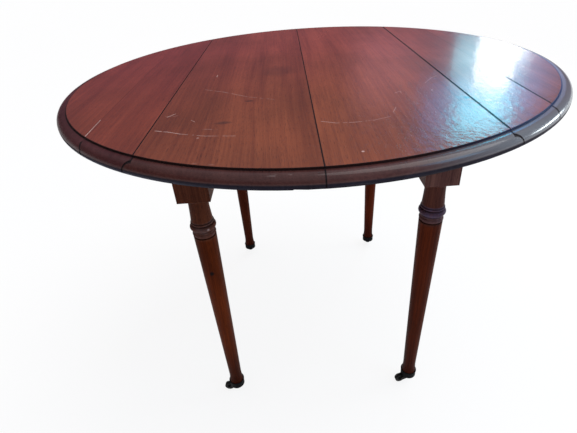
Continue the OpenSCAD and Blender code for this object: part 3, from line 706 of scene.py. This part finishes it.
# Legs: orange brown turned wood, darker in the grooves and paler on the worn corners.
legLook = {
    "light": (0.120, 0.021, 0.003),
    "dark": (0.038, 0.005, 0.001),
    "figure": 1.0,
    "coarseness": 0.8,
    "pores": 0.5,
    "clouds": 0.6,
    "headFrom": 0.518,  # metres, as are the next ones
    "headBlend": 0.006,
    "blockFrom": 0.613,
    "blockBlend": 0.001,
    "foot": (0.62, 0.55, 0.60),  # tints the lower end, which is darker
    "footZone": (0.03, 0.20),
    "wear": (0.15, 0.060, 0.036),
    "wearRadius": 0.0016,
    "wearBreak": 0.55,
    "wearStrength": 0.5,
    "ringZone": (0.5213, 0.560),  # of both rings
    "ringBlend": 0.003,
    "largeRingFrom": (0.5333, 0.5363),
    "sheenPatch": 0.018,
    "sheenPatchStrength": 0.5,
    "grooves": (0.556, 0.5503, 0.5348, 0.5213),  # heights of the turned grooves
    "grooveWidth": (0.0006, 0.0022),
    "grooveDarkening": 0.55,
    # dark colour of the grooves and the knots
    "dirtAndShade": (0.008, 0.004, 0.004),
    "glint": (0.42, 0.34, 0.34),
    "polish": 0.42,
    "dullness": 0.12,
    "gloss": 0.03,
    "relief": 0.0002,
}
# The head of a leg, its rings, bell and block, is less orange and bluer than its taper, a painted bluish
# sheen. The rings have a greyish haze, partly worn varnish and partly a painted sheen, with a colour for
# each, and a share that lies everywhere; on the front right leg its colour is a painted blue-violet
# reflection.
ringSheenGrey = (0.120, 0.088, 0.090)
legSetups = {
    "front_left_leg": {
        "material": "frontLeftLegWood",
        "seed": 1.4,
        "taper": (1.03, 1.0, 0.9),
        "head": (1.25, 2.2, 8.0),
        "block": (1.0, 1.0, 1.0),
        "smallRingSheen": ringSheenGrey,
        "largeRingSheen": ringSheenGrey,
        "sheenHaze": 0.12,
        "knots": [((-0.2275, -0.3217, 0.4303), (0.0065, 0.010, 0.0075))],
        # a pale painted glint on the right side of the ring
        "glints": [((-0.2155, -0.3197, 0.5440), (0.0040, 0.006, 0.0035), 0.8)],
    },
    "front_right_leg": {
        "material": "frontRightLegWood",
        "seed": 2.2,
        "taper": (0.86, 0.80, 1.2),
        "head": (0.82, 1.7, 5.6),
        # the block of this leg is painted lighter and bluer, a painted reflection of the light from the
        # front
        "block": (1.45, 2.0, 2.3),
        "smallRingSheen": (0.115, 0.070, 0.080),
        "largeRingSheen": (0.082, 0.072, 0.135),
        "sheenHaze": 0.34,
    },
    "back_left_leg": {
        "material": "backLeftLegWood",
        "seed": 3.9,
        "taper": (0.78, 0.76, 1.2),
        "head": (1.0, 1.9, 6.0),
        "block": (1.0, 1.0, 1.0),
        "smallRingSheen": ringSheenGrey,
        "largeRingSheen": ringSheenGrey,
        "sheenHaze": 0.12,
    },
    "back_right_leg": {
        "material": "backRightLegWood",
        "seed": 4.5,
        "taper": (0.82, 0.68, 1.0),
        "head": (1.0, 1.9, 6.0),
        "block": (1.0, 1.0, 1.0),
        "smallRingSheen": ringSheenGrey,
        "largeRingSheen": ringSheenGrey,
        "sheenHaze": 0.12,
    },
}


def legWood(leg):
    look = legLook
    made, tree, shader = startMaterial(leg["material"])
    place = objectPlace(tree)
    z = splitVector(tree, place)["Z"]
    grain = useWoodGrain(tree, turnGrain(tree, place, "z"), leg["seed"], look)
    wear = useEdgeWear(tree, place, look)
    head = ease(tree, z, look["headFrom"] - look["headBlend"], look["headFrom"] + look["headBlend"])
    block = ease(tree, z, look["blockFrom"] - look["blockBlend"], look["blockFrom"] + look["blockBlend"])
    colour = tinted(tree, grain["Color"], leg["taper"])
    # painted bluish sheen on the head
    colour = tinted(tree, colour, leg["head"], head)
    # on the front right leg this tint is a painted reflection of the light from the front
    colour = tinted(tree, colour, leg["block"], block)
    colour = tinted(tree, colour, look["foot"], ease(tree, z, *look["footZone"], 1, 0))
    low, high = look["ringZone"]
    onRings = calc(
        tree,
        "MULTIPLY",
        ease(tree, z, low, low + look["ringBlend"]),
        ease(tree, z, high - look["ringBlend"], high, 1, 0),
    )
    # greyish haze on the rings: partly worn varnish, partly a painted sheen
    patches = useDust(tree, place, leg["seed"], look["sheenPatch"])
    sheenHaze = calc(tree, "ADD", leg["sheenHaze"], calc(tree, "MULTIPLY", patches, look["sheenPatchStrength"]))
    sheenColour = mixColour(tree, ease(tree, z, *look["largeRingFrom"]), leg["smallRingSheen"], leg["largeRingSheen"])
    colour = paintOver(tree, colour, sheenColour, onRings, sheenHaze)
    colour = paintOver(tree, colour, look["wear"], wear["Mask"], look["wearStrength"])
    # the grooves are painted darker, and so are the knots
    dirtAndShade = [
        ease(tree, apart(tree, z, height), *look["grooveWidth"], look["grooveDarkening"], 0)
        for height in look["grooves"]
    ]
    dirtAndShade += [useSpot(tree, place, *knot) for knot in leg.get("knots", ())]
    colour = paintOver(tree, colour, look["dirtAndShade"], calc(tree, "MAXIMUM", *dirtAndShade))
    # pale painted glints
    for centre, reach, strength in leg.get("glints", ()):
        colour = paintOver(tree, colour, look["glint"], useSpot(tree, place, centre, reach), strength)
    dullness = calc(tree, "MULTIPLY", grain["Clouds"], look["dullness"])
    values = {
        "Base Color": colour,
        "Roughness": calc(tree, "ADD", look["polish"], dullness),
        "Normal": addBump(tree, grain["Height"], look["relief"], wear["Normal"]),
        "Specular IOR Level": look["gloss"],
    }
    setInputs(tree, shader, values)
    return made


# The plainer woods under the top, with worn edges and dust.
plainFinish = {
    "figure": 1.0,
    "coarseness": 0.9,
    "pores": 0.6,
    "clouds": 0.35,
    "wearBreak": 0.5,
    "wearStrength": 0.7,
    "dustSize": 0.05,
    "polish": 0.5,
    "dullness": 0.25,
    "relief": 0.0003,
}
# Aprons, rails, knuckle blocks and brackets: the same wood as the legs, with less polish.
frameLook = {
    **plainFinish,
    "light": (0.095, 0.030, 0.014),
    "dark": (0.038, 0.011, 0.006),
    "wear": (0.18, 0.080, 0.044),
    "dust": (0.12, 0.090, 0.070),
    "dustAmount": 0.18,
    "wearRadius": 0.0012,
    "gloss": 0.15,
}
# Slides, braces and dowels: plain pale wood that was never stained.
innerLook = {
    **plainFinish,
    "light": (0.48, 0.30, 0.15),
    "dark": (0.30, 0.165, 0.075),
    "wear": (0.55, 0.38, 0.22),
    "dust": (0.20, 0.155, 0.115),
    "dustAmount": 0.45,
    "wearRadius": 0.0010,
    "gloss": 0.3,
}


def plainWood(name, look, seed, direction):
    made, tree, shader = startMaterial(name)
    place = objectPlace(tree)
    grain = useWoodGrain(tree, turnGrain(tree, place, direction), seed, look)
    wear = useEdgeWear(tree, place, look)
    dusty = useDust(tree, place, seed, look["dustSize"])
    colour = paintOver(tree, grain["Color"], look["wear"], wear["Mask"], look["wearStrength"])
    values = {
        "Base Color": paintOver(tree, colour, look["dust"], dusty, look["dustAmount"]),
        "Roughness": calc(tree, "ADD", look["polish"], calc(tree, "MULTIPLY", dusty, look["dullness"])),
        "Normal": addBump(tree, grain["Height"], look["relief"], wear["Normal"]),
        "Specular IOR Level": look["gloss"],
    }
    setInputs(tree, shader, values)
    return made


# Metals: base colour, tarnish in patches, and bright worn edges.
metalFinish = {
    "wearRadius": 0.0004,
    "wearBreak": 0.45,
    "wearStrength": 0.6,
    "grain": {"scale": 900, "detail": 3, "roughness": 0.6},
    "relief": 0.00008,
}
metalLooks = {
    "hingeSteel": {
        "clean": (0.20, 0.18, 0.155),
        "tarnish": (0.085, 0.048, 0.030),
        "edge": (0.42, 0.39, 0.35),
        "tarnishSize": 0.012,
        "smooth": 0.38,
        "rough": 0.62,
        "metallic": 0.85,
        "gloss": 0.4,
    },
    "pinSteel": {
        "clean": (0.42, 0.40, 0.37),
        "tarnish": (0.16, 0.11, 0.075),
        "edge": (0.60, 0.57, 0.52),
        "tarnishSize": 0.006,
        "smooth": 0.30,
        "rough": 0.50,
        "metallic": 0.9,
        "gloss": 0.5,
    },
    # the cup's near-black colour is a painted shade, for the shadow it stands in under the leg
    "cupSteel": {
        "clean": (0.007, 0.007, 0.008),
        "tarnish": (0.004, 0.004, 0.004),
        "edge": (0.07, 0.07, 0.075),
        "tarnishSize": 0.007,
        "smooth": 0.42,
        "rough": 0.68,
        "metallic": 0.0,
        "gloss": 0.025,
    },
    "casterIron": {
        "clean": (0.009, 0.008, 0.008),
        "tarnish": (0.010, 0.007, 0.006),
        "edge": (0.05, 0.047, 0.045),
        "tarnishSize": 0.006,
        "smooth": 0.42,
        "rough": 0.70,
        "metallic": 0.1,
        "gloss": 0.07,
    },
    "wheelIron": {
        "clean": (0.008, 0.008, 0.008),
        "tarnish": (0.013, 0.011, 0.010),
        "edge": (0.04, 0.038, 0.036),
        "tarnishSize": 0.005,
        "smooth": 0.48,
        "rough": 0.70,
        "metallic": 0.0,
        "gloss": 0.12,
    },
}
# The slots in the heads of the hinge screws, painted dark as a painted shade and cut in by the bump.
slotLook = {
    "colour": (0.015, 0.013, 0.012),
    "width": 0.00045,
    "core": 0.7,  # share of the width at full depth
    "depth": 6.0,  # against the relief of the metal
    "screwX": (0.2446, 0.29577, 0.3254),
}


def screwSlots(tree, place):
    acrossX = calc(tree, "ABSOLUTE", splitVector(tree, place)["X"])
    width = slotLook["width"]
    lines = [
        ease(tree, apart(tree, acrossX, screwX), width * slotLook["core"], width, 1, 0)
        for screwX in slotLook["screwX"]
    ]
    return calc(tree, "MAXIMUM", *lines)


def metal(name, kind, seed, slotted=False):
    look, finish = metalLooks[kind], metalFinish
    made, tree, shader = startMaterial(name)
    place = objectPlace(tree)
    tarnish = useDust(tree, place, seed, look["tarnishSize"])
    wear = useEdgeWear(tree, place, finish)
    colour = mixColour(tree, tarnish, look["clean"], look["tarnish"])
    colour = paintOver(tree, colour, look["edge"], wear["Mask"], finish["wearStrength"])
    height = noise(tree, place, seed, **finish["grain"])
    if slotted:
        slots = screwSlots(tree, place)
        # painted shade in the screw slots
        colour = paintOver(tree, colour, slotLook["colour"], slots)
        height = calc(tree, "SUBTRACT", height, calc(tree, "MULTIPLY", slots, slotLook["depth"]))
    values = {
        "Base Color": colour,
        "Roughness": ease(tree, tarnish, 0, 1, look["smooth"], look["rough"]),
        "Normal": addBump(tree, height, finish["relief"], wear["Normal"]),
        "Metallic": look["metallic"],
        "Specular IOR Level": look["gloss"],
    }
    setInputs(tree, shader, values)
    return made


def dress(material, *names):
    for name in names:
        slots = nodes[name].data.materials
        slots.clear()
        slots.append(material)


# A thin sheet in the joint between the halves, a painted shade that keeps light from shining through it:
# outlines across Y and Z, one of half of the top and one of the front apron, which are mirrored to the
# other side.
jointShadeSheet = {
    "fromX": -0.00019,
    "toX": 0.00018,
    "topOutline": (
        (0.526, 0.7385),
        (0.5305, 0.7405),
        (0.5325, 0.7445),
        (0.5325, 0.7475),
        (0.5305, 0.7535),
        (0.5255, 0.7572),
        (0.5125, 0.7578),
        (0.512, 0.761),
    ),
    "apronOutline": ((0.308, 0.645), (0.326, 0.645), (0.326, 0.7375), (0.308, 0.7375)),
}


def makeJointShadeSheet(setup, material):
    top, apron = list(setup["topOutline"]), list(setup["apronOutline"])
    topMirrored, apronMirrored = ([(-y, z) for y, z in reversed(outline)] for outline in (top, apron))
    places, faces = [], []
    for outline in (top + topMirrored, apron, apronMirrored):
        first, count = len(places), len(outline)
        places += [(setup["toX"], y, z) for y, z in outline]
        places += [(setup["fromX"], y, z) for y, z in outline]
        faces.append(list(range(first, first + count)))
        faces.append(list(range(first + 2 * count - 1, first + count - 1, -1)))
        for i in range(count):
            j = (i + 1) % count
            faces.append([first + j, first + i, first + count + i, first + count + j])
    mesh = bpy.data.meshes.new("middle_joint_shade_sheet")
    mesh.from_pydata(places, [], faces)
    mesh.materials.append(material)
    made = bpy.data.objects.new("middle_joint_shade_sheet", mesh)
    bpy.context.scene.collection.objects.link(made)
    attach(made, "left_half")


for boardName, board in topBoards.items():
    dress(topWood(board), boardName)
makeJointShadeSheet(jointShadeSheet, nodes["left_top"].data.materials[0])
print("top dressed")

ends, sides = ("front", "back"), ("left", "right")
corners = [f"{end}_{side}" for end in ends for side in sides]
for legName, leg in legSetups.items():
    dress(legWood(leg), legName)
dress(
    plainWood("apronWood", frameLook, seed=1.7, direction="x"),
    *(f"{corner}_apron" for corner in corners),
)
dress(
    plainWood("railWood", frameLook, seed=2.9, direction="y"),
    *(f"{side}_{piece}" for piece in ("side_rail", "knuckle_block", "bracket") for side in sides),
)
dress(
    plainWood("slideWood", innerLook, seed=3.3, direction="x"),
    *(f"{end}_{part}_slide" for end in ends for part in ("left", "middle", "right")),
    *(f"{side}_corner_braces" for side in sides),
    "alignment_dowels",
)
print("frame dressed")

for side in sides:
    hinge = metal(f"{side}HingeSteel", "hingeSteel", seed=1.1)
    dress(hinge, f"{side}_hinge_short_plates", f"{side}_hinge_long_plates")
    screw = metal(f"{side}ScrewSteel", "pinSteel", seed=2.4, slotted=True)
    dress(screw, f"{side}_short_plate_screws", f"{side}_long_plate_screws")
    pin = metal(f"{side}PinSteel", "pinSteel", seed=3.6)
    dress(pin, f"{side}_hinge_pins", f"{side}_bracket_pin")
for number, corner in enumerate(corners):
    dress(metal(f"{corner}.cup", "cupSteel", seed=number + 0.5), f"{corner}_cup")
    dress(metal(f"{corner}.fork", "casterIron", seed=number + 1.5), f"{corner}_fork", f"{corner}_axle")
    dress(metal(f"{corner}.wheel", "wheelIron", seed=number + 2.5), f"{corner}_wheel")
print("metal dressed")

# Stage: a wide pale floor, and a soft sky that is brighter overhead, with a soft sun in it. The zones of
# the sky are shares of its direction along X, Y and Z.
stageSetup = {
    "floorHalf": 60.0,
    "floorColour": (0.90, 0.90, 0.90),
    "floorWhite": 0.86,  # share of plain white that the camera and the reflections see
    "horizonLeft": (0.22, 0.16, 0.15),
    "horizonRight": (0.42, 0.46, 0.53),
    "horizonZone": (-0.8, 0.6),
    "farHorizon": (0.20, 0.10, 0.14),
    "farZone": (0.3, 0.8),
    "zenith": (0.85, 0.87, 0.92),
    "zenithZone": (0.25, 0.85),
    "paleSky": (0.92, 0.92, 0.92),  # what the camera sees behind the floor
    "sunStrength": 1.3,
    "sunSpread": 50.0,  # degrees
    "sunFrom": (0.45, 0.15, 0.9),
}
# Lights for the gloss: middle, direction faced, width, height, softness of the edges, radiance and colour.
# The first nine are the panes and the glow of a window behind the table, each a little behind the last.
windowLights = {
    "windowCore": ((1.720, 2.60, 1.43), (0, -1, 0), 0.35, 0.42, 0.06, 9.0, (1.0, 1.0, 1.0)),
    "windowCorner": ((1.97, 2.62, 1.30), (0, -1, 0), 0.22, 0.16, 0.2, 6.0, (1.0, 1.0, 1.0)),
    "windowTongue": ((1.78, 2.64, 1.67), (0, -1, 0), 0.20, 0.22, 0.25, 6.0, (0.80, 0.96, 1.0)),
    "windowStripe": ((1.49, 2.66, 1.47), (0, -1, 0), 0.29, 0.52, 0.25, 3.8, (0.24, 0.84, 1.0)),
    "windowEdge": ((1.95, 2.68, 1.50), (0, -1, 0), 0.24, 0.42, 0.3, 2.4, (0.30, 0.84, 1.0)),
    "windowLow": ((1.73, 2.70, 1.98), (0, -1, 0), 0.72, 0.56, 0.28, 8.4, (0.08, 0.84, 1.0)),
    "windowBlue": ((1.70, 2.72, 1.94), (0, -1, 0), 1.36, 0.78, 0.25, 2.5, (0.04, 0.40, 1.0)),
    "windowHaze": ((2.14, 2.74, 1.62), (0, -1, 0), 1.00, 1.00, 0.3, 1.1, (0.46, 0.52, 1.0)),
    "windowVeil": ((0.84, 2.76, 1.62), (0, -1, 0), 0.95, 1.10, 0.4, 0.72, (1.0, 0.50, 0.62)),
    "sideWindow": ((2.64, 0.27, 1.00), (-1, -0.2, 0), 1.30, 0.46, 0.3, 19.0, (0.86, 0.95, 1.0)),
    "rightSky": ((2.30, -1.30, 2.60), (-1, 0.5, -0.9), 1.50, 1.50, 0.3, 3.8, (0.26, 0.62, 1.0)),
}


def makeFloor(setup):
    half = setup["floorHalf"]
    floorCorners = [(-half, -half, 0), (half, -half, 0), (half, half, 0), (-half, half, 0)]
    mesh = bpy.data.meshes.new("floor")
    mesh.from_pydata(floorCorners, [], [(0, 1, 2, 3)])
    floor = bpy.data.objects.new("floor", mesh)
    bpy.context.scene.collection.objects.link(floor)
    made = bpy.data.materials.new("floorPaint")
    made.use_nodes = True
    tree = made.node_tree
    tree.nodes.clear()
    lit = addNode(tree, "ShaderNodeBsdfDiffuse", {"Color": setup["floorColour"]}).outputs[0]
    white = addNode(tree, "ShaderNodeEmission", {"Color": (1, 1, 1), "Strength": 1.0}).outputs[0]
    ray = tree.nodes.new("ShaderNodeLightPath").outputs
    seen = calc(tree, "MAXIMUM", ray["Is Camera Ray"], ray["Is Glossy Ray"], ray["Is Transmission Ray"])
    share = calc(tree, "MULTIPLY", seen, setup["floorWhite"])
    paint = addNode(tree, "ShaderNodeMixShader", {0: share, 1: lit, 2: white}).outputs[0]
    # a camera below the floor looks through it at the underside of the table
    clear = addNode(tree, "ShaderNodeBsdfTransparent", {"Color": (1, 1, 1)}).outputs[0]
    under = addNode(tree, "ShaderNodeNewGeometry").outputs["Backfacing"]
    under = calc(tree, "MULTIPLY", under, ray["Is Camera Ray"])
    surface = addNode(tree, "ShaderNodeMixShader", {0: under, 1: paint, 2: clear}).outputs[0]
    addNode(tree, "ShaderNodeOutputMaterial", {"Surface": surface})
    mesh.materials.append(made)


def makeSky(setup):
    world = bpy.data.worlds.new("softSky")
    world.use_nodes = True
    tree = world.node_tree
    tree.nodes.clear()
    x, y, z = splitVector(tree, addNode(tree, "ShaderNodeTexCoord").outputs["Generated"])
    toRight = ease(tree, x, *setup["horizonZone"])
    near = mixColour(tree, toRight, setup["horizonLeft"], setup["horizonRight"])
    low = mixColour(tree, ease(tree, y, *setup["farZone"]), near, setup["farHorizon"])
    colour = mixColour(tree, ease(tree, z, *setup["zenithZone"]), low, setup["zenith"])
    # the polished top mirrors the soft sky itself, because a white one would wash out its colour
    ray = tree.nodes.new("ShaderNodeLightPath").outputs
    seen = calc(tree, "MAXIMUM", ray["Is Camera Ray"], ray["Is Transmission Ray"])
    colour = mixColour(tree, seen, colour, setup["paleSky"])
    sky = addNode(tree, "ShaderNodeBackground", {"Color": colour, "Strength": 1.0}).outputs[0]
    addNode(tree, "ShaderNodeOutputWorld", {"Surface": sky})
    bpy.context.scene.world = world


def makeSun(setup):
    data = bpy.data.lights.new("sun", "SUN")
    data.energy = setup["sunStrength"]
    data.angle = math.radians(setup["sunSpread"])
    made = bpy.data.objects.new("sun", data)
    made.rotation_euler = Vector(setup["sunFrom"]).to_track_quat("Z", "Y").to_euler()
    bpy.context.scene.collection.objects.link(made)


def makeWindow(name, centre, facing, width, height, softness, radiance, colour):
    data = bpy.data.lights.new(name, "AREA")
    data.shape = "RECTANGLE"
    data.size = width
    data.size_y = height
    data.energy = radiance * width * height * math.pi
    data.color = colour
    data.use_nodes = True
    tree = data.node_tree
    tree.nodes.clear()
    across, up, _ = splitVector(tree, addNode(tree, "ShaderNodeNewGeometry").outputs["Parametric"])
    fades = [
        ease(tree, apart(tree, place, middle), middle - softness, middle, 1, 0) for place in (across, up)
    ]
    glow = addNode(tree, "ShaderNodeEmission", {"Strength": calc(tree, "MULTIPLY", *fades)}).outputs[0]
    addNode(tree, "ShaderNodeOutputLight", {"Surface": glow})
    made = bpy.data.objects.new(name, data)
    made.location = centre
    made.rotation_euler = Vector(facing).to_track_quat("-Z", "Y").to_euler()
    made.visible_camera = False
    bpy.context.scene.collection.objects.link(made)


makeFloor(stageSetup)
makeSky(stageSetup)
makeSun(stageSetup)
for lightName, values in windowLights.items():
    makeWindow(lightName, *values)
print("stage set")
